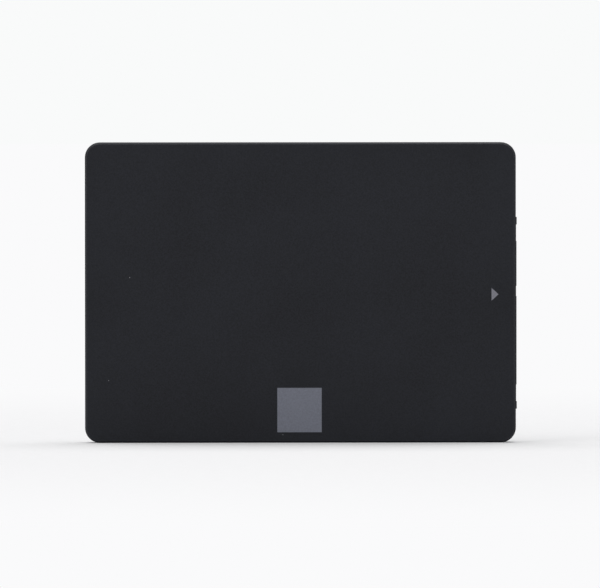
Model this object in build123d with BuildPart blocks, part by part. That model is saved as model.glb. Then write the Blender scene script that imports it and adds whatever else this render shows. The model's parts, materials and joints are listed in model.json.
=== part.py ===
from build123d import *
import os

# 2.5-inch solid state drive, standing on its lower long edge. X runs along the length
# with the connector at +X, Y from the front cover (-Y) to the mounting face (+Y), and
# Z up across the width. Millimetres.

os.makedirs("parts", exist_ok=True)

# Case
case_length = 100.2
case_width = 69.85
case_thickness = 6.8
corner_radius = 3.5
wall = 1.2
cover_plate = 1.1
cover_rim = 1.4
back_plate = 1.0
cover_bevel = 0.42
base_bevel = 0.3
seam_gap = 0.12
seam_depth = 0.4
rib_thickness = 0.8
rib_height = 1.0
rib_pitch = 9.0
rib_count = 3

# Locating tabs of the cover
tab_length = 9.0
tab_thickness = 0.8
tab_reach = 1.0
tab_clearance = 0.1
tab_pitch = 30.0

# Mounting holes, to the 2.5-inch form factor
mount_end_inset = 14.0
mount_pitch = 76.6
mount_side_inset = 4.065
mount_hole_radius = 1.25
mount_hole_depth = 3.5
side_hole_height = 3.0
side_hole_depth = 2.5
mount_boss_length = 8.0
mount_boss_wall = 2.6
mount_boss_corner = 1.0

# Case screws, driven from the mounting face into the cover
screw_fit = 0.05
case_screw_radius = 1.0
case_head_radius = 1.7
case_head_height = 0.8
case_head_recess = 0.25
case_head_fit = 0.15
case_pillar_radius = 2.6
case_pillar_height = 1.2
case_boss_radius = 2.2
case_screw_bite = 2.4
tip_clearance = 0.2
case_screw_end_inset = 4.7
case_screw_side_inset = 12.0
case_screw_plug_gap = 8.0
drive_core_radius = 0.5
drive_lobe_radius = 0.3
drive_lobe_spread = 0.45
drive_depth = 0.5
drive_lobes = 5

# Connector: 7 signal and 15 power contacts
plug_width = 44.6
plug_cavity = 41.13
plug_offset = 4.8
plug_height = 3.5
plug_proud = 0.25
plug_clearance = 0.15
window_gap = 0.15
tongue_length = 5.0
tongue_thickness = 1.23
signal_tongue = 10.41
power_tongue = 20.57
tongue_gap = 2.41
key_thickness = 1.0
sill_thickness = 0.4
plug_base = 2.4
plug_foot = 3.5
plug_foot_rise = 1.8
contact_pitch = 1.27
contact_width = 0.84
contact_thickness = 0.2
contact_proud = 0.03
contact_tail = 1.0
tail_step = 0.3
signal_contact_count = 7
power_contact_count = 15
signal_first_mate = (0, 3, 6)
power_first_mate = (3, 11)
first_mate_inset = 0.6
late_mate_inset = 1.1
lock_thickness = 0.3
lock_length = 2.6
lock_height = 1.2
lock_foot = 1.4

# Circuit board
board_length = 54.0
board_thickness = 0.8
board_edge_gap = 0.5
board_notch_gap = 0.4
board_plug_gap = 0.1
board_corner = 1.0
standoff_height = 1.5
standoff_radius = 2.1
board_screw_end_inset = 3.2
board_screw_side_inset = 3.6
board_screw_pitch = 37.0
board_screw_radius = 0.8
board_head_radius = 1.5
board_head_height = 0.6
board_screw_bite = 1.3

# Chips
flash_length = 12.0
flash_width = 18.0
flash_thickness = 1.2
flash_gap = 2.4
flash_first_inset = 10.0
controller_size = 14.0
controller_thickness = 1.1
chip_gap = 2.0
dram_length = 11.0
dram_width = 9.0
dram_thickness = 1.0
chip_bevel = 0.12
pin_mark_radius = 0.4
pin_mark_depth = 0.05
pin_mark_inset = 1.2
pad_margin = 0.6

# Small parts on the board: length, width and height of each
part_gap = 0.8
column_pitch = 5.0
power_chip_size = (4.0, 4.0, 0.9)
regulator_size = (3.0, 3.0, 0.8)
diode_size = (2.4, 1.4, 0.9)
inductor_size = (3.0, 2.8, 1.2)
inductor_pitch = 3.6
fuse_size = (1.6, 0.8, 0.6)
bulk_size = (3.2, 1.6, 1.4)
bulk_pitch = 2.6
boot_memory_size = (5.0, 4.0, 0.8)
crystal_size = (3.2, 2.5, 0.7)
sensor_size = (1.6, 1.6, 0.6)
signal_capacitor_size = (1.0, 0.5, 0.5)
resistor_size = (1.0, 0.5, 0.4)
resistor_pitch = 1.6
ceramic_capacitor_size = (0.6, 1.0, 0.5)
ceramic_pitch = 1.8

# Label and printed marks
label_length = 68.0
label_width = 50.0
label_corner = 1.5
label_thickness = 0.12
label_recess = 0.15
label_fit = 0.15
ink_depth = 0.03
square_size = 10.3
square_edge_gap = 2.45
square_shift = -0.25
arrow_end_gap = 4.06
arrow_length = 1.6
arrow_height = 2.95
arrow_drop = 0.45

# Places worked out from the sizes
front_y = -case_thickness / 2
back_y = case_thickness / 2
seam_y = front_y + cover_rim
ceiling_y = front_y + cover_plate
floor_y = back_y - back_plate
centre_x = -plug_proud / 2
plug_end_x = centre_x + case_length / 2
far_end_x = centre_x - case_length / 2
mid_z = case_width / 2

mount_xs = [plug_end_x - mount_end_inset, plug_end_x - mount_end_inset - mount_pitch]
mount_zs = [mount_side_inset, case_width - mount_side_inset]

plug_low_z = mid_z - plug_offset - plug_width / 2
plug_high_z = plug_low_z + plug_width
tip_x = plug_end_x + plug_proud
plug_face_x = tip_x - tongue_length
plug_rear_x = plug_face_x - plug_base
tongue_y = back_y - plug_height
tongues_z = (plug_low_z + plug_high_z - power_tongue - tongue_gap - signal_tongue) / 2
power_low_z = tongues_z
signal_low_z = power_low_z + power_tongue + tongue_gap

board_back_y = floor_y - standoff_height
board_front_y = board_back_y - board_thickness
board_right_x = plug_rear_x - board_plug_gap
board_left_x = board_right_x - board_length
board_width = case_width - 2 * (wall + board_edge_gap)
board_screw_xs = [
    board_left_x + board_screw_end_inset,
    board_left_x + board_screw_end_inset + board_screw_pitch,
]
board_screw_zs = [
    wall + board_edge_gap + board_screw_side_inset,
    case_width - wall - board_edge_gap - board_screw_side_inset,
]
board_screw_points = [(x, z) for x in board_screw_xs for z in board_screw_zs]

case_screw_points = [
    (far_end_x + case_screw_end_inset, case_screw_side_inset),
    (far_end_x + case_screw_end_inset, case_width - case_screw_side_inset),
    (plug_end_x - case_screw_end_inset, plug_high_z + case_screw_plug_gap),
]
case_seat_y = back_y - case_head_height - case_head_recess
pillar_y = floor_y - case_pillar_height
case_tip_y = pillar_y - case_screw_bite

label_x = centre_x - case_screw_end_inset / 2
tab_xs = [centre_x - tab_pitch / 2, centre_x + tab_pitch / 2]


def at_depth(y):
    """Plane at depth y that faces the front cover, with X and Z as its axes."""
    return Plane.XZ.offset(-y)


def facing_back(x, y, z):
    """Plane at a point that faces the mounting side."""
    return Plane(origin=(x, y, z), x_dir=(1, 0, 0), z_dir=(0, 1, 0))


def facing_front(x, y, z):
    """Plane at a point that faces the front cover."""
    return Plane(origin=(x, y, z), x_dir=(1, 0, 0), z_dir=(0, -1, 0))


def save(builder, name):
    """Label a finished piece and write it as its own STEP file."""
    builder.part.label = name
    export_step(builder.part, f"parts/{name}.step")


# Base shell: tray with the mounting bosses, board standoffs and connector window
with BuildPart() as base_shell:
    with BuildSketch(at_depth(back_y)):
        with Locations((centre_x, mid_z)):
            RectangleRounded(case_length, case_width, corner_radius)
    extrude(amount=back_y - seam_y)
    chamfer(base_shell.faces().sort_by(Axis.Y)[-1].edges(), length=base_bevel)
    with BuildSketch(at_depth(floor_y)):
        with Locations((centre_x, mid_z)):
            RectangleRounded(case_length - 2 * wall, case_width - 2 * wall, corner_radius - wall)
    extrude(amount=floor_y - seam_y, mode=Mode.SUBTRACT)

    # Narrow groove along the parting line
    with BuildSketch(at_depth(seam_y + seam_gap)):
        with Locations((centre_x, mid_z)):
            RectangleRounded(case_length, case_width, corner_radius)
            RectangleRounded(
                case_length - 2 * seam_depth,
                case_width - 2 * seam_depth,
                corner_radius - seam_depth,
                mode=Mode.SUBTRACT,
            )
    extrude(amount=seam_gap, mode=Mode.SUBTRACT)

    # Mounting bosses grow from the long walls, rooted inside them
    boss_root = wall - mount_boss_corner
    boss_reach = mount_side_inset + mount_boss_wall - boss_root
    boss_zs = [boss_root + boss_reach / 2, case_width - boss_root - boss_reach / 2]
    with BuildSketch(at_depth(floor_y)):
        with Locations(*[(x, z) for x in mount_xs for z in boss_zs]):
            RectangleRounded(mount_boss_length, boss_reach, mount_boss_corner)
    extrude(amount=floor_y - seam_y)

    # Standoffs carry the circuit board, pillars carry the case screws
    with BuildSketch(at_depth(floor_y)):
        with Locations(*board_screw_points):
            Circle(standoff_radius)
    extrude(amount=standoff_height)
    with BuildSketch(at_depth(floor_y)):
        with Locations(*case_screw_points):
            Circle(case_pillar_radius)
    extrude(amount=case_pillar_height)

    # Stiffening ribs across the empty bay beside the board
    with BuildSketch(at_depth(floor_y)):
        with Locations(((far_end_x + board_left_x) / 2, mid_z)):
            with GridLocations(rib_pitch, 1, rib_count, 1):
                Rectangle(rib_thickness, case_width - 2 * wall)
    extrude(amount=rib_height)

    with Locations(*[facing_front(x, board_back_y, z) for x, z in board_screw_points]):
        Hole(board_screw_radius + screw_fit, board_screw_bite + tip_clearance)
    with Locations(*[facing_back(x, back_y, z) for x, z in case_screw_points]):
        CounterBoreHole(
            case_screw_radius + screw_fit,
            case_head_radius + case_head_fit,
            back_y - case_seat_y,
            back_y - pillar_y,
        )
    with Locations(*[facing_back(x, back_y, z) for x in mount_xs for z in mount_zs]):
        Hole(mount_hole_radius, mount_hole_depth)
    side_hole_y = back_y - side_hole_height
    with Locations(*[Plane(origin=(x, side_hole_y, 0), z_dir=(0, 0, -1)) for x in mount_xs]):
        Hole(mount_hole_radius, side_hole_depth)
    with Locations(*[Plane(origin=(x, side_hole_y, case_width)) for x in mount_xs]):
        Hole(mount_hole_radius, side_hole_depth)

    # Window for the connector, as deep as the end wall
    with BuildSketch(at_depth(floor_y)):
        with Locations((plug_end_x - wall / 2, (plug_low_z + plug_high_z) / 2)):
            Rectangle(wall + 2 * window_gap, plug_width + 2 * window_gap)
    extrude(amount=floor_y - seam_y, mode=Mode.SUBTRACT)

    # Shallow recess for the label
    with BuildSketch(at_depth(back_y)):
        with Locations((label_x, mid_z)):
            RectangleRounded(label_length, label_width, label_corner)
    extrude(amount=label_recess, mode=Mode.SUBTRACT)
save(base_shell, "base_shell")

# Front cover: bevelled plate with screw bosses and locating tabs
with BuildPart() as front_cover:
    with BuildSketch(at_depth(seam_y)):
        with Locations((centre_x, mid_z)):
            RectangleRounded(case_length, case_width, corner_radius)
    extrude(amount=cover_rim)
    chamfer(front_cover.faces().sort_by(Axis.Y)[0].edges(), length=cover_bevel)
    with BuildSketch(at_depth(seam_y)):
        with Locations((centre_x, mid_z)):
            RectangleRounded(case_length - 2 * wall, case_width - 2 * wall, corner_radius - wall)
        with Locations((plug_end_x - wall / 2, (plug_low_z + plug_high_z) / 2)):
            Rectangle(wall + 2 * window_gap, plug_width + 2 * window_gap)
    extrude(amount=cover_rim - cover_plate, mode=Mode.SUBTRACT)

    tab_inset = wall + tab_clearance + tab_thickness / 2
    tab_zs = [tab_inset, case_width - tab_inset]
    with BuildSketch(at_depth(ceiling_y)):
        with Locations(*[(x, z) for x in tab_xs for z in tab_zs]):
            Rectangle(tab_length, tab_thickness)
        with Locations((far_end_x + tab_inset, mid_z)):
            Rectangle(tab_thickness, tab_length)
    extrude(amount=-(cover_rim - cover_plate + tab_reach))
    with BuildSketch(at_depth(ceiling_y)):
        with Locations(*case_screw_points):
            Circle(case_boss_radius)
    extrude(amount=-(pillar_y - ceiling_y))
    with Locations(*[facing_back(x, pillar_y, z) for x, z in case_screw_points]):
        Hole(case_screw_radius + screw_fit, case_screw_bite + tip_clearance)

    # Pockets that hold the printed ink flush with the face
    square_x = centre_x + square_shift
    square_z = square_edge_gap + square_size / 2
    arrow_z = mid_z - arrow_drop
    arrow_tip_x = plug_end_x - arrow_end_gap
    arrow_points = [
        (arrow_tip_x, arrow_z),
        (arrow_tip_x - arrow_length, arrow_z + arrow_height / 2),
        (arrow_tip_x - arrow_length, arrow_z - arrow_height / 2),
    ]
    with BuildSketch(at_depth(front_y)):
        with Locations((square_x, square_z)):
            Rectangle(square_size, square_size)
        with BuildLine():
            Polyline(*arrow_points, close=True)
        make_face()
    extrude(amount=-ink_depth, mode=Mode.SUBTRACT)
save(front_cover, "front_cover")

# Printed marks: a plain square and the small arrow towards the connector
with BuildPart() as printed_square:
    with BuildSketch(at_depth(front_y)):
        with Locations((square_x, square_z)):
            Rectangle(square_size, square_size)
    extrude(amount=-ink_depth)
save(printed_square, "printed_square")

with BuildPart() as printed_arrow:
    with BuildSketch(at_depth(front_y)):
        with BuildLine():
            Polyline(*arrow_points, close=True)
        make_face()
    extrude(amount=-ink_depth)
save(printed_arrow, "printed_arrow")

# Label in its recess on the mounting face
with BuildPart() as rear_label:
    with BuildSketch(at_depth(back_y - label_recess + label_thickness)):
        with Locations((label_x, mid_z)):
            RectangleRounded(
                label_length - 2 * label_fit, label_width - 2 * label_fit, label_corner - label_fit
            )
    extrude(amount=label_thickness)
save(rear_label, "rear_label")


def make_screws(name, points, seat_y, tip_y, shank_radius, head_radius, head_height, heads_back):
    """Flat-headed screws with a lobed drive, heads to the back or to the front."""
    side = 1 if heads_back else -1
    facing = facing_back if heads_back else facing_front
    top_y = seat_y + side * head_height
    with BuildPart() as screws:
        with BuildSketch(*[facing(x, seat_y, z) for x, z in points]):
            Circle(head_radius)
        extrude(amount=head_height)
        crowns = screws.faces().filter_by(Axis.Y).group_by(Axis.Y)[-1 if heads_back else 0]
        chamfer(crowns.edges(), length=head_height / 4)
        with BuildSketch(*[facing(x, seat_y, z) for x, z in points]):
            Circle(shank_radius)
        extrude(amount=-abs(seat_y - tip_y))
        with BuildSketch(*[facing(x, top_y, z) for x, z in points]):
            with PolarLocations(drive_lobe_spread, drive_lobes):
                Circle(drive_lobe_radius)
            Circle(drive_core_radius)
        extrude(amount=-drive_depth, mode=Mode.SUBTRACT)
    save(screws, name)


make_screws("case_screws", case_screw_points, case_seat_y, case_tip_y,
            case_screw_radius, case_head_radius, case_head_height, heads_back=True)
make_screws("board_screws", board_screw_points, board_front_y, board_back_y + board_screw_bite,
            board_screw_radius, board_head_radius, board_head_height, heads_back=False)


def contact_profile(end_x):
    """Side view of one contact: blade on the tongue, step down, tail on the board."""
    blade_y = tongue_y - tongue_thickness / 2 - contact_proud
    rear_x = plug_rear_x - plug_foot - tail_step
    Polyline(
        (end_x, blade_y),
        (rear_x, blade_y),
        (rear_x, board_front_y - contact_thickness),
        (rear_x - contact_tail, board_front_y - contact_thickness),
        (rear_x - contact_tail, board_front_y),
        (rear_x + contact_thickness, board_front_y),
        (rear_x + contact_thickness, blade_y + contact_thickness),
        (end_x, blade_y + contact_thickness),
        close=True,
    )


def contact_zs(low_z, tongue, count):
    """Lower edges of the evenly pitched contacts, centred on their tongue."""
    first = low_z + tongue / 2 - (count - 1) * contact_pitch / 2 - contact_width / 2
    return [first + i * contact_pitch for i in range(count)]


def make_contacts(name, zs, first_mate):
    """Gold-plated contacts, of which the first to mate reach further along the tongue."""
    early_zs = [z for i, z in enumerate(zs) if i in first_mate]
    late_zs = [z for i, z in enumerate(zs) if i not in first_mate]
    with BuildPart() as contacts:
        for inset, group in ((first_mate_inset, early_zs), (late_mate_inset, late_zs)):
            with BuildSketch(*[Plane.XY.offset(z) for z in group]):
                with BuildLine():
                    contact_profile(tip_x - inset)
                make_face()
            extrude(amount=contact_width)
    save(contacts, name)
    return contacts.part


signal_zs = contact_zs(signal_low_z, signal_tongue, signal_contact_count)
power_zs = contact_zs(power_low_z, power_tongue, power_contact_count)
signal_contacts = make_contacts("signal_contacts", signal_zs, signal_first_mate)
power_contacts = make_contacts("power_contacts", power_zs, power_first_mate)

# Connector housing: base block, end walls, two keyed tongues and the foot on the board
with BuildPart() as connector_housing:
    housing_front_y = ceiling_y + plug_clearance
    housing_back_y = floor_y - plug_clearance
    end_wall = (plug_width - plug_cavity) / 2
    with BuildSketch(at_depth(housing_back_y)):
        with Locations(((plug_rear_x + plug_face_x) / 2, (plug_low_z + plug_high_z) / 2)):
            Rectangle(plug_base, plug_width)
        with Locations(
            ((plug_rear_x + tip_x) / 2, plug_low_z + end_wall / 2),
            ((plug_rear_x + tip_x) / 2, plug_high_z - end_wall / 2),
        ):
            Rectangle(plug_base + tongue_length, end_wall)
    extrude(amount=housing_back_y - housing_front_y)

    tongue_back_y = tongue_y + tongue_thickness / 2
    tongue_mid_x = (plug_face_x + tip_x) / 2
    with BuildSketch(at_depth(tongue_back_y)):
        with Locations((tongue_mid_x, power_low_z + power_tongue / 2)):
            Rectangle(tongue_length, power_tongue)
        with Locations((tongue_mid_x, signal_low_z + signal_tongue / 2)):
            Rectangle(tongue_length, signal_tongue)
    extrude(amount=tongue_thickness)

    # A sill runs behind the tongues, and keys at their inner ends join them to it, so that
    # the cable can't go in upside down
    with BuildSketch(at_depth(housing_back_y)):
        with Locations((tongue_mid_x, (plug_low_z + plug_high_z) / 2)):
            Rectangle(tongue_length, plug_width)
    extrude(amount=sill_thickness)
    with BuildSketch(at_depth(housing_back_y)):
        with Locations(
            (tongue_mid_x, power_low_z + power_tongue - key_thickness / 2),
            (tongue_mid_x, signal_low_z + key_thickness / 2),
        ):
            Rectangle(tongue_length, key_thickness)
    extrude(amount=housing_back_y - tongue_back_y)

    foot_low_z = plug_low_z + end_wall
    with BuildSketch(at_depth(board_front_y)):
        with Locations((plug_rear_x - plug_foot / 2, (plug_low_z + plug_high_z) / 2)):
            Rectangle(plug_foot, plug_cavity)
    extrude(amount=plug_foot_rise)
    add(signal_contacts, mode=Mode.SUBTRACT)
    add(power_contacts, mode=Mode.SUBTRACT)
save(connector_housing, "connector_housing")

# Board locks: bent metal tabs that solder the housing to the board
with BuildPart() as board_locks:
    lock_x = plug_rear_x - plug_foot / 2
    lock_rise_zs = [foot_low_z - lock_thickness / 2, foot_low_z + plug_cavity + lock_thickness / 2]
    lock_foot_zs = [foot_low_z - lock_foot / 2, foot_low_z + plug_cavity + lock_foot / 2]
    with BuildSketch(at_depth(board_front_y)):
        with Locations(*[(lock_x, z) for z in lock_rise_zs]):
            Rectangle(lock_length, lock_thickness)
    extrude(amount=lock_height)
    with BuildSketch(at_depth(board_front_y)):
        with Locations(*[(lock_x, z) for z in lock_foot_zs]):
            Rectangle(lock_length, lock_foot)
    extrude(amount=lock_thickness)
save(board_locks, "board_locks")

# Circuit board, notched round the mounting bosses
with BuildPart() as circuit_board:
    notch_depth = mount_side_inset + mount_boss_wall + board_notch_gap
    with BuildSketch(at_depth(board_back_y)):
        with Locations(((board_left_x + board_right_x) / 2, mid_z)):
            RectangleRounded(board_length, board_width, board_corner)
        with Locations(
            (mount_xs[0], notch_depth / 2),
            (mount_xs[0], case_width - notch_depth / 2),
        ):
            Rectangle(mount_boss_length + 2 * board_notch_gap, notch_depth, mode=Mode.SUBTRACT)
    extrude(amount=board_thickness)
    with Locations(*[facing_front(x, board_front_y, z) for x, z in board_screw_points]):
        Hole(board_screw_radius + screw_fit, board_thickness)
save(circuit_board, "circuit_board")


def make_chip(name, x, z, length, width, thickness, on_front=True):
    """Moulded chip seated on one face of the board, with a bevelled lid and a pin-one dot."""
    seat_y = board_front_y if on_front else board_back_y
    facing = facing_front if on_front else facing_back
    side = -1 if on_front else 1
    mark = (x - length / 2 + pin_mark_inset, z + width / 2 - pin_mark_inset)
    with BuildPart() as chip:
        with BuildSketch(facing(x, seat_y, z)):
            Rectangle(length, width)
        extrude(amount=thickness)
        lid = chip.faces().sort_by(Axis.Y)[0 if on_front else -1]
        chamfer(lid.edges(), length=min(chip_bevel, thickness / 4))
        if min(length, width) > 3 * pin_mark_inset:
            with Locations(facing(mark[0], seat_y + side * thickness, mark[1])):
                Hole(pin_mark_radius, pin_mark_depth)
    save(chip, name)


# Flash memory: two by two packages on each face of the board
flash_xs = [board_left_x + flash_first_inset + i * (flash_length + flash_gap) for i in (0, 1)]
flash_zs = [mid_z - (flash_width + flash_gap) / 2, mid_z + (flash_width + flash_gap) / 2]
flash_places = [(x, z) for x in flash_xs for z in flash_zs]
for number, (x, z) in enumerate(flash_places, start=1):
    make_chip(f"flash_chip_front_{number}", x, z, flash_length, flash_width, flash_thickness)
    make_chip(f"flash_chip_back_{number}", x, z, flash_length, flash_width, flash_thickness, False)

# Controller and its working memory, between the flash and the connector
controller_x = flash_xs[1] + flash_length / 2 + chip_gap + controller_size / 2
controller_z = mid_z - plug_offset
dram_z = controller_z + controller_size / 2 + chip_gap + dram_width / 2
make_chip("controller_chip", controller_x, controller_z,
          controller_size, controller_size, controller_thickness)
make_chip("dram_chip", controller_x, dram_z, dram_length, dram_width, dram_thickness)


def make_pad(name, x, z, length, width, from_y, to_y):
    """Soft thermal pad that fills the gap between a chip and the case."""
    with BuildPart() as pad:
        with BuildSketch(at_depth(max(from_y, to_y))):
            with Locations((x, z)):
                Rectangle(length, width)
        extrude(amount=abs(from_y - to_y))
    save(pad, name)


flash_mid_x = (flash_xs[0] + flash_xs[1]) / 2
flash_span_x = 2 * flash_length + flash_gap - 2 * pad_margin
flash_span_z = 2 * flash_width + flash_gap - 2 * pad_margin
make_pad("flash_pad_front", flash_mid_x, mid_z, flash_span_x, flash_span_z,
         board_front_y - flash_thickness, ceiling_y)
make_pad("flash_pad_back", flash_mid_x, mid_z, flash_span_x, flash_span_z,
         board_back_y + flash_thickness, floor_y)
make_pad("controller_pad", controller_x, controller_z, controller_size - 2 * pad_margin,
         controller_size - 2 * pad_margin, board_front_y - controller_thickness, ceiling_y)

# Small parts on the front face: power below the controller, clock and start-up chips above
power_z = controller_z - controller_size / 2 - part_gap
clock_z = dram_z + dram_width / 2 + part_gap + boot_memory_size[1] / 2
first_column_x = controller_x - controller_size / 2 + power_chip_size[0] / 2
middle_column_x = first_column_x + column_pitch
last_column_x = middle_column_x + column_pitch
tails_x = plug_rear_x - plug_foot - tail_step - contact_tail
edge_column_x = tails_x - part_gap - resistor_size[0] / 2
cap_column_x = controller_x - controller_size / 2 - chip_gap / 2


def make_small_parts(name, x, z, size, count=1, pitch=0.0):
    """Surface-mount parts on the front face of the board, one above the other."""
    length, width, height = size
    with BuildPart() as row:
        with BuildSketch(*[facing_front(x, board_front_y, z + i * pitch) for i in range(count)]):
            Rectangle(length, width)
        extrude(amount=height)
        lids = row.faces().filter_by(Axis.Y).group_by(Axis.Y)[0]
        chamfer(lids.edges(), length=height / 8)
    save(row, name)


make_small_parts("power_chip", first_column_x, power_z - power_chip_size[1] / 2, power_chip_size)
make_small_parts("regulator_chip", first_column_x,
                 power_z - power_chip_size[1] - part_gap - regulator_size[1] / 2, regulator_size)
make_small_parts("protection_diode", middle_column_x, power_z - diode_size[1] / 2, diode_size)
make_small_parts("power_inductors", middle_column_x,
                 power_z - diode_size[1] - part_gap - inductor_size[1] / 2 - inductor_pitch,
                 inductor_size, 2, inductor_pitch)
make_small_parts("input_fuse", last_column_x, power_z - fuse_size[1] / 2, fuse_size)
make_small_parts("bulk_capacitors", last_column_x,
                 power_z - fuse_size[1] - part_gap - bulk_size[1] / 2 - 2 * bulk_pitch,
                 bulk_size, 3, bulk_pitch)
make_small_parts("boot_memory_chip", first_column_x, clock_z, boot_memory_size)
make_small_parts("clock_crystal", middle_column_x, clock_z, crystal_size)
make_small_parts("temperature_sensor", last_column_x, clock_z, sensor_size)
make_small_parts("signal_capacitors", edge_column_x, signal_low_z + part_gap,
                 signal_capacitor_size, 4, resistor_pitch)
make_small_parts("chip_resistors", edge_column_x, power_low_z + part_gap,
                 resistor_size, 12, resistor_pitch)
make_small_parts("ceramic_capacitors", cap_column_x,
                 controller_z - controller_size / 2 + part_gap,
                 ceramic_capacitor_size, 12, ceramic_pitch)
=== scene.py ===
import json
import math

import bmesh
import bpy
from mathutils import Euler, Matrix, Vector


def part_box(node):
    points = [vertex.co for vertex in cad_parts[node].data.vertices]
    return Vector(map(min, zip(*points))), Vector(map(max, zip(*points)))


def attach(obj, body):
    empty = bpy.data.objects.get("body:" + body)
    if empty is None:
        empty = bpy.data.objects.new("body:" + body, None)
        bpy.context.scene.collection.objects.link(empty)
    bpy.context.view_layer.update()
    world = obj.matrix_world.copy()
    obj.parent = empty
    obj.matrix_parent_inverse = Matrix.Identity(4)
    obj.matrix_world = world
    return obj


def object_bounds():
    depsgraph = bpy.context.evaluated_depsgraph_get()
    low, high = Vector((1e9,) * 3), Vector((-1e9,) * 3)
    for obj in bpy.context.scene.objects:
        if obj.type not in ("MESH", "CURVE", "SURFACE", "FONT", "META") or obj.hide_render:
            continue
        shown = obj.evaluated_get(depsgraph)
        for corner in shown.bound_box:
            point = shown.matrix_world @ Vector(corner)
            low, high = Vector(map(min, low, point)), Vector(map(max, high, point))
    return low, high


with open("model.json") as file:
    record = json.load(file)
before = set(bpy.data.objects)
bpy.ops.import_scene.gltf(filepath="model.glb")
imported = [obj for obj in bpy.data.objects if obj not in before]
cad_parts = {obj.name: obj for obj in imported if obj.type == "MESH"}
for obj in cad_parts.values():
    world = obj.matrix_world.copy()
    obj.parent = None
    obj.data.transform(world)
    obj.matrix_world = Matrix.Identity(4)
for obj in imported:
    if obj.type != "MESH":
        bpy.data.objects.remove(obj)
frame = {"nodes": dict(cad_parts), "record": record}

cad_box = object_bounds()

# Base shell: the tray that carries everything. Die-cast aluminium, blasted with fine beads
# and anodised black, so it is matt and a little uneven, with a painted highlight along its edges.


def srgb(colour):
    """Turn a 0xRRGGBB colour into linear RGBA."""
    channels = [(colour >> shift & 255) / 255 for shift in (16, 8, 0)]
    linear = [c / 12.92 if c <= 0.04045 else ((c + 0.055) / 1.055) ** 2.4 for c in channels]
    return (*linear, 1.0)


def per_mm(size):
    """Texture scale that gives features of this many millimetres."""
    return 1000 / size


def new_material(name):
    """Empty node material."""
    material = bpy.data.materials.new(name)
    material.use_nodes = True
    material.node_tree.nodes.clear()
    return material


def add_node(owner, kind, sockets=None, **settings):
    """Add a node, set its properties, and set or link its sockets."""
    tree = owner if hasattr(owner, "links") else owner.node_tree
    node = tree.nodes.new(kind)
    for key, value in settings.items():
        setattr(node, key, value)
    for key, value in (sockets or {}).items():
        if isinstance(value, bpy.types.NodeSocket):
            tree.links.new(value, node.inputs[key])
        else:
            node.inputs[key].default_value = value
    return node


def finish_material(material, bsdf):
    """Send a shader to the material's output."""
    add_node(material, "ShaderNodeOutputMaterial", {"Surface": bsdf.outputs[0]})
    return material


def dress(name, material):
    """Give a CAD node this material in every slot."""
    slots = frame["nodes"][name].data.materials
    if not slots:
        slots.append(material)
    for i in range(len(slots)):
        slots[i] = material


def edge_mask(material, radius_mm):
    """White where a hard edge is near, from how far rounding would turn the surface."""
    rounded = add_node(material, "ShaderNodeBevel", {"Radius": radius_mm / 1000}, samples=6)
    flat = add_node(material, "ShaderNodeNewGeometry")
    likeness = add_node(
        material,
        "ShaderNodeVectorMath",
        {0: rounded.outputs["Normal"], 1: flat.outputs["Normal"]},
        operation="DOT_PRODUCT",
    )
    mask = add_node(
        material,
        "ShaderNodeMapRange",
        {"Value": likeness.outputs["Value"], "From Min": 0.999, "From Max": 0.93},
    )
    return rounded.outputs["Normal"], mask.outputs["Result"]


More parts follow.
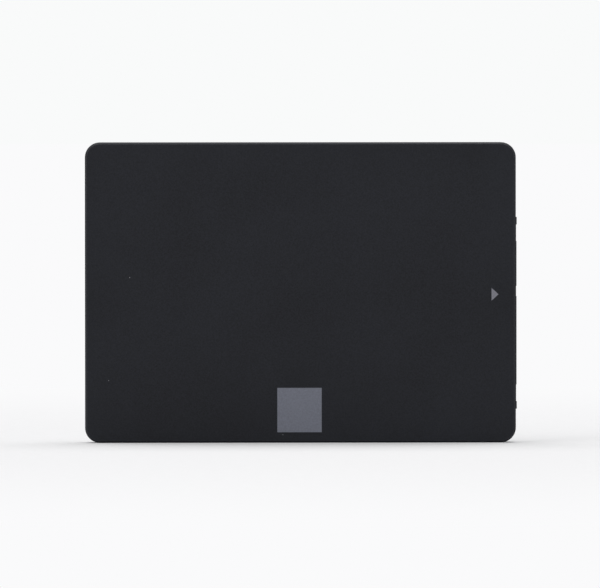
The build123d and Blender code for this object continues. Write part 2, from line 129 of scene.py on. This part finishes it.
def bead_blasted_anodised_aluminium(name, dark, pale, edge_highlight, dust):
    """Bead-blasted, black anodised aluminium: a fine, even grain on a soft, uneven black."""
    grain_size = 0.3  # real grain is about 0.08 mm, drawn coarser so that it shows
    mottle_size = 22.0
    grain_share = 0.6
    # Width of the painted edge highlight, in millimetres.
    edge_highlight_radius = 0.12
    speck_spacing = 4.5
    speck_radius = 0.022  # as a share of the spacing
    share_of_specks_kept = 0.2
    grain_height = 0.03
    material = new_material(name)
    where = add_node(material, "ShaderNodeTexCoord").outputs["Object"]
    grain = add_node(
        material, "ShaderNodeTexNoise", {"Vector": where, "Scale": per_mm(grain_size), "Detail": 3.0}
    )
    mottle = add_node(
        material, "ShaderNodeTexNoise", {"Vector": where, "Scale": per_mm(mottle_size), "Detail": 4.0}
    )
    blend = add_node(
        material,
        "ShaderNodeMix",
        {"Factor": grain_share, 2: mottle.outputs["Fac"], 3: grain.outputs["Fac"]},
    )
    body = add_node(material, "ShaderNodeValToRGB", {"Fac": blend.outputs[0]})
    body.color_ramp.elements[0].position = 0.33
    body.color_ramp.elements[0].color = srgb(dark)
    body.color_ramp.elements[1].position = 0.67
    body.color_ramp.elements[1].color = srgb(pale)
    # Painted highlight: a paler colour laid along every hard edge, broken up by the grain, in place of
    # light caught by the edges.
    normal, edges = edge_mask(material, edge_highlight_radius)
    edge_highlight_mask = add_node(
        material,
        "ShaderNodeMath",
        {0: edges, 1: grain.outputs["Fac"]},
        operation="MULTIPLY",
    )
    body_with_edge_highlight = add_node(
        material,
        "ShaderNodeMix",
        {"Factor": edge_highlight_mask.outputs[0], 6: body.outputs["Color"], 7: srgb(edge_highlight)},
        data_type="RGBA",
    )
    # A few grains of dust lie on the surface, at random and far apart
    specks = add_node(
        material, "ShaderNodeTexVoronoi", {"Vector": where, "Scale": per_mm(speck_spacing)}
    )
    small = add_node(
        material,
        "ShaderNodeMath",
        {0: specks.outputs["Distance"], 1: speck_radius},
        operation="LESS_THAN",
    )
    lot = add_node(material, "ShaderNodeSeparateColor", {"Color": specks.outputs["Color"]})
    rare = add_node(
        material,
        "ShaderNodeMath",
        {0: lot.outputs[0], 1: share_of_specks_kept},
        operation="LESS_THAN",
    )
    speck_mask = add_node(
        material, "ShaderNodeMath", {0: small.outputs[0], 1: rare.outputs[0]}, operation="MULTIPLY"
    )
    dusty = add_node(
        material,
        "ShaderNodeMix",
        {"Factor": speck_mask.outputs[0], 6: body_with_edge_highlight.outputs[2], 7: srgb(dust)},
        data_type="RGBA",
    )
    gloss = add_node(
        material,
        "ShaderNodeMapRange",
        {"Value": mottle.outputs["Fac"], "To Min": 0.5, "To Max": 0.62},
    )
    bump = add_node(
        material,
        "ShaderNodeBump",
        {
            "Height": grain.outputs["Fac"],
            "Strength": 0.25,
            "Distance": grain_height / 1000,
            "Normal": normal,
        },
    )
    bsdf = add_node(
        material,
        "ShaderNodeBsdfPrincipled",
        {
            "Base Color": dusty.outputs[2],
            "Roughness": gloss.outputs["Result"],
            "Specular IOR Level": 0.2,
            "Normal": bump.outputs["Normal"],
        },
    )
    return finish_material(material, bsdf)


# The pale edge colour given here is a painted highlight along the hard edges.
dress("base_shell", bead_blasted_anodised_aluminium(
    "bead_blasted_anodised_base", dark=0x0F1115, pale=0x1C1F23, edge_highlight=0x55575C, dust=0x6A6B70))

# Mounting threads: M3 threads tapped after the shell was anodised, so they are bare, bright
# aluminium inside black holes. Each is one helical ridge, four behind and two in each side.


def thread_tree(material):
    """Node group: a helical ridge at each point, turned to run into its hole."""
    tree = bpy.data.node_groups.new("tapped_threads", "GeometryNodeTree")
    face = tree.interface
    face.new_socket("Geometry", in_out="INPUT", socket_type="NodeSocketGeometry")
    for label, kind in (
        ("Radius", "NodeSocketFloat"),
        ("Ridge", "NodeSocketFloat"),
        ("Turns", "NodeSocketFloat"),
        ("Depth", "NodeSocketFloat"),
        ("Turned", "NodeSocketVector"),
    ):
        face.new_socket(label, in_out="INPUT", socket_type=kind)
    face.new_socket("Geometry", in_out="OUTPUT", socket_type="NodeSocketGeometry")
    steps_per_turn = 40
    ridge_sides = 6
    given = add_node(tree, "NodeGroupInput").outputs
    helix = add_node(
        tree,
        "GeometryNodeCurveSpiral",
        {
            "Resolution": steps_per_turn,
            "Rotations": given["Turns"],
            "Start Radius": given["Radius"],
            "End Radius": given["Radius"],
            "Height": given["Depth"],
        },
    )
    ridge = add_node(
        tree,
        "GeometryNodeCurvePrimitiveCircle",
        {"Resolution": ridge_sides, "Radius": given["Ridge"]},
    )
    thread = add_node(
        tree,
        "GeometryNodeCurveToMesh",
        {"Curve": helix.outputs["Curve"], "Profile Curve": ridge.outputs["Curve"], "Fill Caps": True},
    )
    mouths = add_node(tree, "GeometryNodeMeshToPoints", {"Mesh": given["Geometry"]})
    turned = add_node(tree, "FunctionNodeEulerToRotation", {"Euler": given["Turned"]})
    placed = add_node(
        tree,
        "GeometryNodeInstanceOnPoints",
        {
            "Points": mouths.outputs["Points"],
            "Instance": thread.outputs["Mesh"],
            "Rotation": turned.outputs["Rotation"],
        },
    )
    real = add_node(tree, "GeometryNodeRealizeInstances", {"Geometry": placed.outputs["Instances"]})
    done = add_node(
        tree, "GeometryNodeSetMaterial", {"Geometry": real.outputs["Geometry"], "Material": material}
    )
    add_node(tree, "NodeGroupOutput", {"Geometry": done.outputs["Geometry"]})
    return tree


def make_with_nodes(name, points, tree, values):
    """Run a node group on loose points and keep the result as a plain mesh."""
    seed = bpy.data.meshes.new(name + "_points")
    seed.from_pydata(points, [], [])
    maker = bpy.data.objects.new(name + "_maker", seed)
    bpy.context.scene.collection.objects.link(maker)
    modifier = maker.modifiers.new("maker", "NODES")
    modifier.node_group = tree
    sockets = {item.name: item.identifier for item in tree.interface.items_tree
               if item.in_out == "INPUT"}
    for label, value in values.items():
        modifier[sockets[label]] = value
    graph = bpy.context.evaluated_depsgraph_get()
    mesh = bpy.data.meshes.new_from_object(maker.evaluated_get(graph))
    bpy.data.objects.remove(maker)
    piece = bpy.data.objects.new(name, mesh)
    bpy.context.scene.collection.objects.link(piece)
    return piece


def cut_aluminium():
    """Freshly cut aluminium: bright metal with fine turning marks."""
    turning_mark = 0.08
    material = new_material("tapped_bare_aluminium")
    where = add_node(material, "ShaderNodeTexCoord").outputs["Object"]
    marks = add_node(
        material, "ShaderNodeTexNoise", {"Vector": where, "Scale": per_mm(turning_mark), "Detail": 2.0}
    )
    tone = add_node(material, "ShaderNodeValToRGB", {"Fac": marks.outputs["Fac"]})
    tone.color_ramp.elements[0].color = srgb(0x7C7D80)
    tone.color_ramp.elements[1].color = srgb(0xB9BABD)
    gloss = add_node(
        material, "ShaderNodeMapRange", {"Value": marks.outputs["Fac"], "To Min": 0.25, "To Max": 0.45}
    )
    bsdf = add_node(
        material,
        "ShaderNodeBsdfPrincipled",
        {"Base Color": tone.outputs["Color"], "Metallic": 1.0, "Roughness": gloss.outputs["Result"]},
    )
    return finish_material(material, bsdf)


def hole_mouths(mount):
    """Hole centres of a bolt pattern in the record."""
    along = mount["dims"]["spacing_x_mm"] / 2000
    across = mount["dims"].get("spacing_y_mm", 0) / 2000
    signs = [(a, b) for a in (-1, 1) for b in ((-1, 1) if across else (1,))]
    centre = Vector(mount["pos_m"])
    return [centre + Vector((a * along, 0, b * across)) for a, b in signs]


thread_pitch = 0.0005
thread_ridge = 0.00013
threads = thread_tree(cut_aluminium())
mounts = {mount["name"]: mount for mount in frame["record"]["mounts"]}
for pattern, turned, turns in (
    ("mounting_face_holes", (math.pi / 2, 0, 0), 6),
    ("lower_side_holes", (0, 0, 0), 4),
    ("upper_side_holes", (math.pi, 0, 0), 4),
):
    inward = Euler(turned).to_matrix() @ Vector((0, 0, 1))
    radius = mounts[pattern]["dims"]["hole_r_mm"] / 1000
    mouths = [tuple(mouth + inward * thread_pitch) for mouth in hole_mouths(mounts[pattern])]
    piece = make_with_nodes(pattern.replace("holes", "threads"), mouths, threads, {
        "Radius": radius, "Ridge": thread_ridge, "Turns": float(turns),
        "Depth": thread_pitch * turns, "Turned": turned,
    })
    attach(piece, "root")

# Circuit board and what is soldered to it: glass-epoxy board under a satin solder mask, with
# copper tracks that show as faint raised lines, moulded, fired and cast parts, and tin locks.


def solder_mask():
    """Green solder mask over copper: paler, raised lanes where a track runs below."""
    track_spacing = 6.0
    track_height = 0.03
    material = new_material("solder_mask_on_glass_epoxy")
    where = add_node(material, "ShaderNodeTexCoord").outputs["Object"]
    tracks = add_node(
        material,
        "ShaderNodeTexBrick",
        {"Vector": where, "Scale": per_mm(track_spacing), "Mortar Size": 0.03,
         "Color1": srgb(0x0D3B22), "Color2": srgb(0x104529), "Mortar": srgb(0x1C6B3D)},
    )
    bump = add_node(
        material,
        "ShaderNodeBump",
        {"Height": tracks.outputs["Fac"], "Strength": 0.4, "Distance": track_height / 1000},
    )
    bsdf = add_node(
        material,
        "ShaderNodeBsdfPrincipled",
        {"Base Color": tracks.outputs["Color"], "Roughness": 0.35, "Normal": bump.outputs["Normal"]},
    )
    return finish_material(material, bsdf)


def speckled(name, dark, pale, grain_mm, roughness, metallic=0.0, bump_mm=0.01):
    """Surface with a fine two-tone grain, for moulded, fired, cast or plated pieces."""
    rounding = grain_mm / 4
    gloss_spread = 0.06
    material = new_material(name)
    where = add_node(material, "ShaderNodeTexCoord").outputs["Object"]
    grain = add_node(
        material, "ShaderNodeTexNoise", {"Vector": where, "Scale": per_mm(grain_mm), "Detail": 4.0}
    )
    tone = add_node(material, "ShaderNodeValToRGB", {"Fac": grain.outputs["Fac"]})
    tone.color_ramp.elements[0].position = 0.35
    tone.color_ramp.elements[0].color = srgb(dark)
    tone.color_ramp.elements[1].position = 0.65
    tone.color_ramp.elements[1].color = srgb(pale)
    rounded = add_node(material, "ShaderNodeBevel", {"Radius": rounding / 1000}, samples=4)
    bump = add_node(
        material,
        "ShaderNodeBump",
        {"Height": grain.outputs["Fac"], "Strength": 0.3, "Distance": bump_mm / 1000,
         "Normal": rounded.outputs["Normal"]},
    )
    gloss = add_node(
        material,
        "ShaderNodeMapRange",
        {"Value": grain.outputs["Fac"], "To Min": roughness - gloss_spread,
         "To Max": roughness + gloss_spread},
    )
    bsdf = add_node(
        material,
        "ShaderNodeBsdfPrincipled",
        {"Base Color": tone.outputs["Color"], "Metallic": metallic,
         "Roughness": gloss.outputs["Result"], "Normal": bump.outputs["Normal"]},
    )
    return finish_material(material, bsdf)


dress("circuit_board", solder_mask())
epoxy = speckled("moulded_epoxy_package", 0x17171A, 0x202024, 0.2, 0.55)
silicone = speckled("cast_silicone_gap_pad", 0x6E7780, 0x8A929B, 0.4, 0.8)
ceramic = speckled("fired_ceramic_chip", 0x6B5139, 0x80634A, 0.15, 0.5)
tin = speckled("tin_plated_steel", 0x9C9C9C, 0xC4C4C2, 0.3, 0.35, metallic=1.0)
chip_words = ("chip", "diode", "fuse", "inductors", "resistors", "sensor")
for name in frame["nodes"]:
    if "pad" in name:
        dress(name, silicone)
    elif "capacitors" in name:
        dress(name, ceramic)
    elif name in ("board_locks", "clock_crystal"):
        dress(name, tin)
    elif any(word in name for word in chip_words):
        dress(name, epoxy)

# Connector: one moulding of glass-filled liquid-crystal polymer, dull black with pale flow
# marks, and stamped contacts with hard gold plating that has a fine drawn grain.
dress("connector_housing", speckled("glass_filled_lcp_moulding", 0x121214, 0x1E1E21, 0.35, 0.5))


def gold_plate():
    """Hard gold on stamped copper alloy: warm metal with fine lines along each contact."""
    line_spacing = 0.1
    line_depth = 0.01
    material = new_material("hard_gold_plate")
    where = add_node(material, "ShaderNodeTexCoord").outputs["Object"]
    drawn = add_node(material, "ShaderNodeMapping", {"Vector": where, "Scale": (0.05, 1.0, 1.0)})
    lines = add_node(
        material,
        "ShaderNodeTexNoise",
        {"Vector": drawn.outputs["Vector"], "Scale": per_mm(line_spacing), "Detail": 3.0},
    )
    tone = add_node(material, "ShaderNodeValToRGB", {"Fac": lines.outputs["Fac"]})
    tone.color_ramp.elements[0].color = srgb(0xC08F3C)
    tone.color_ramp.elements[1].color = srgb(0xEBC674)
    bump = add_node(
        material,
        "ShaderNodeBump",
        {"Height": lines.outputs["Fac"], "Strength": 0.15, "Distance": line_depth / 1000},
    )
    bsdf = add_node(
        material,
        "ShaderNodeBsdfPrincipled",
        {"Base Color": tone.outputs["Color"], "Metallic": 1.0, "Roughness": 0.28,
         "Normal": bump.outputs["Normal"]},
    )
    return finish_material(material, bsdf)


gold = gold_plate()
dress("signal_contacts", gold)
dress("power_contacts", gold)

# Front cover: a bevelled aluminium plate with the same blasted, anodised finish as the base,
# a touch paler on its broad face, screwed on from behind.
# Its pale edge colour is a painted highlight too.
dress("front_cover", bead_blasted_anodised_aluminium(
    "bead_blasted_anodised_cover", dark=0x121318, pale=0x212329, edge_highlight=0x5E6066, dust=0x8A8B90))

# Printed marks: a plain square and a small arrow, screen-printed in grey ink that lies thin
# and dull on the metal, with the mesh of the screen just showing.


def screen_ink(name, dark, pale):
    """Screen-printed ink: dull, with a faint weave from the printing screen."""
    mesh_pitch = 0.35  # a real screen is finer, drawn coarser so that it shows
    weave_depth = 0.02
    material = new_material(name)
    where = add_node(material, "ShaderNodeTexCoord").outputs["Object"]
    grain = add_node(
        material, "ShaderNodeTexNoise", {"Vector": where, "Scale": per_mm(mesh_pitch), "Detail": 3.0}
    )
    cloth = add_node(
        material,
        "ShaderNodeTexVoronoi",
        {"Vector": where, "Scale": per_mm(mesh_pitch), "Randomness": 0.15},
    )
    tone = add_node(material, "ShaderNodeValToRGB", {"Fac": grain.outputs["Fac"]})
    tone.color_ramp.elements[0].position = 0.3
    tone.color_ramp.elements[0].color = srgb(dark)
    tone.color_ramp.elements[1].position = 0.7
    tone.color_ramp.elements[1].color = srgb(pale)
    bump = add_node(
        material,
        "ShaderNodeBump",
        {"Height": cloth.outputs["Distance"], "Strength": 0.15, "Distance": weave_depth / 1000},
    )
    bsdf = add_node(
        material,
        "ShaderNodeBsdfPrincipled",
        {"Base Color": tone.outputs["Color"], "Roughness": 0.62, "Specular IOR Level": 0.3,
         "Normal": bump.outputs["Normal"]},
    )
    return finish_material(material, bsdf)


dress("printed_square", screen_ink("grey_screen_ink", 0x6F727D, 0x7A7D89))
dress("printed_arrow", screen_ink("pale_grey_screen_ink", 0x77777F, 0x83838D))

# Screws: flat-headed steel, blackened in hot oxide, so the metal shows through as a dark
# sheen. Three close the case from behind, and four hold the board.
steel = speckled("black_oxide_steel", 0x2A2A2C, 0x3C3C40, 0.12, 0.38, metallic=0.9)
dress("case_screws", steel)
dress("board_screws", steel)

# Rear label: satin white polyester film in a shallow recess, printed with plain rules, empty
# boxes and a block of bars. It names nothing.
dress("rear_label", speckled("satin_polyester_film", 0xC4C6C8, 0xC9CACC, 0.8, 0.42, bump_mm=0.001))
label_low, label_high = (Vector(corner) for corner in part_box("rear_label"))
label_size = label_high - label_low
ink_film = 0.00001
margin = 0.003
line = 0.00018
inset = 0.002
box_count = 4
box_width = 0.024
box_height = 0.0055
box_gap = 0.001
bar_count = 60
bar_step = 0.00045
bar_height = 0.0075
bar_rise = 0.004
thin_bar = 0.3
wider_by = 0.25
rule_count = 5
rule_rise = 0.012
rule_step = 0.0028
band_height = 0.005


def print_block(mesh, left, low, width, height):
    """One printed rectangle, as a film of ink on the label. Left is as seen from behind."""
    centre_x = label_high.x - left - width / 2
    made = bmesh.ops.create_cube(mesh, size=1.0)["verts"]
    bmesh.ops.scale(mesh, vec=(width, ink_film, height), verts=made)
    centre = Vector((centre_x, label_high.y + ink_film / 2, label_low.z + low + height / 2))
    bmesh.ops.translate(mesh, vec=centre, verts=made)


def print_frame(mesh, left, low, width, height):
    """An empty ruled box."""
    print_block(mesh, left, low, width, line)
    print_block(mesh, left, low + height - line, width, line)
    print_block(mesh, left, low + line, line, height - 2 * line)
    print_block(mesh, left + width - line, low + line, line, height - 2 * line)


printing = bmesh.new()
inner_width = label_size.x - 2 * margin
inner_height = label_size.z - 2 * margin
print_frame(printing, margin, margin, inner_width, inner_height)
for box in range(box_count):
    box_low = margin + inset + box * (box_height + box_gap)
    print_frame(printing, margin + inset, box_low, box_width, box_height)
bar_left = margin + inset + box_width + 2 * inset
bar_low = margin + bar_rise
for bar in range(bar_count):
    thickness = bar_step * (thin_bar + wider_by * (bar % 3))
    print_block(printing, bar_left + bar * bar_step, bar_low, thickness, bar_height)
for rule in range(rule_count):
    rule_low = bar_low + rule_rise + rule * rule_step
    print_block(printing, bar_left, rule_low, bar_count * bar_step, line)
band_low = margin + inner_height - inset - band_height
print_block(printing, margin + inset, band_low, inner_width - 2 * inset, band_height)
label_mesh = bpy.data.meshes.new("label_printing")
printing.to_mesh(label_mesh)
printing.free()
label_printing = bpy.data.objects.new("label_printing", label_mesh)
bpy.context.scene.collection.objects.link(label_printing)
label_mesh.materials.append(screen_ink("black_label_ink", 0x222326, 0x2B2C30))
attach(label_printing, "root")

# Setting: an open pale floor that fades to plain white further off, soft light from above
# and in front, and a long lens close to square on to the cover.
low_corner, high_corner = (Vector(corner) for corner in cad_box)
middle = (low_corner + high_corner) / 2
floor_reach = 20.0
floor_mesh = bpy.data.meshes.new("floor")
floor_mesh.from_pydata(
    [(x * floor_reach, y * floor_reach, low_corner.z)
     for x, y in ((-1, -1), (1, -1), (1, 1), (-1, 1))],
    [],
    [(0, 1, 2, 3)],
)
floor = bpy.data.objects.new("floor", floor_mesh)
bpy.context.scene.collection.objects.link(floor)


def floor_paper():
    """Matt white paper that catches the shadow, and turns to plain white further off."""
    fibre_size = 3.0
    fade_start = 0.1
    fade_end = 0.5
    material = new_material("white_floor_paper")
    where = add_node(material, "ShaderNodeTexCoord").outputs["Object"]
    fibre = add_node(material, "ShaderNodeTexNoise", {"Vector": where, "Scale": per_mm(fibre_size)})
    tone = add_node(
        material,
        "ShaderNodeMix",
        {"Factor": fibre.outputs["Fac"], 6: srgb(0xDADADB), 7: srgb(0xE0E0E1)},
        data_type="RGBA",
    )
    paper = add_node(material, "ShaderNodeBsdfDiffuse", {"Color": tone.outputs[2]})
    plain = add_node(material, "ShaderNodeEmission", {"Color": srgb(0xFAFAFB), "Strength": 1.0})
    far = add_node(material, "ShaderNodeVectorMath", {0: where}, operation="LENGTH")
    fade = add_node(
        material,
        "ShaderNodeMapRange",
        {"Value": far.outputs["Value"], "From Min": fade_start, "From Max": fade_end,
         "To Min": 0.05},
        interpolation_type="SMOOTHSTEP",
    )
    rays = add_node(material, "ShaderNodeLightPath").outputs
    seen = add_node(
        material,
        "ShaderNodeMath",
        {0: rays["Is Camera Ray"], 1: fade.outputs["Result"]},
        operation="MULTIPLY",
    )
    mixed = add_node(
        material,
        "ShaderNodeMixShader",
        {0: seen.outputs[0], 1: paper.outputs[0], 2: plain.outputs[0]},
    )
    return finish_material(material, mixed)


floor_mesh.materials.append(floor_paper())

page_white = srgb(0xF9FAFA)
world = bpy.data.worlds.new("studio")
bpy.context.scene.world = world
world.use_nodes = True
world.node_tree.nodes.clear()
rays = add_node(world, "ShaderNodeLightPath").outputs
ambient = add_node(world, "ShaderNodeBackground", {"Color": srgb(0xFFFFFF), "Strength": 0.34})
backdrop = add_node(world, "ShaderNodeBackground", {"Color": page_white, "Strength": 1.0})
seen = add_node(
    world,
    "ShaderNodeMath",
    {0: rays["Is Camera Ray"], 1: rays["Is Glossy Ray"]},
    operation="MAXIMUM",
)
seen = add_node(
    world, "ShaderNodeMath", {0: seen.outputs[0], 1: rays["Is Transmission Ray"]}, operation="MAXIMUM"
)
sky = add_node(
    world,
    "ShaderNodeMixShader",
    {0: seen.outputs[0], 1: ambient.outputs[0], 2: backdrop.outputs[0]},
)
add_node(world, "ShaderNodeOutputWorld", {"Surface": sky.outputs[0]})


def add_sun(name, strength, spread, turn):
    """Soft parallel light. Spread and turn are in degrees."""
    lamp = bpy.data.lights.new(name, "SUN")
    lamp.energy = strength
    lamp.angle = math.radians(spread)
    holder = bpy.data.objects.new(name, lamp)
    holder.rotation_euler = [math.radians(angle) for angle in turn]
    bpy.context.scene.collection.objects.link(holder)


add_sun("overhead_softbox", strength=2.5, spread=64, turn=(-14, 0, 0))
add_sun("left_fill", strength=1.0, spread=60, turn=(62, 0, -62))

camera_distance = 2.5
camera_turn = math.radians(-1.1)
camera_rise = math.radians(1.0)
camera_roll = math.radians(-0.04)
camera_lens = 644.4
sensor_width = 36.0
view_reach = 100.0
aim_shift = Vector((-0.00018, 0, -0.0004))
aim = middle + aim_shift
back = Vector((
    math.sin(camera_turn) * math.cos(camera_rise),
    -math.cos(camera_turn) * math.cos(camera_rise),
    math.sin(camera_rise),
))
lens = bpy.data.cameras.new("long_lens")
lens.lens = camera_lens
lens.sensor_width = sensor_width
lens.clip_end = view_reach
camera = bpy.data.objects.new("camera", lens)
camera.location = aim + back * camera_distance
facing = back.to_track_quat("Z", "Y").to_matrix()
camera.rotation_euler = (facing @ Euler((0, 0, camera_roll)).to_matrix()).to_euler()
bpy.context.scene.collection.objects.link(camera)
bpy.context.scene.camera = camera
bpy.context.scene.view_settings.view_transform = "Standard"
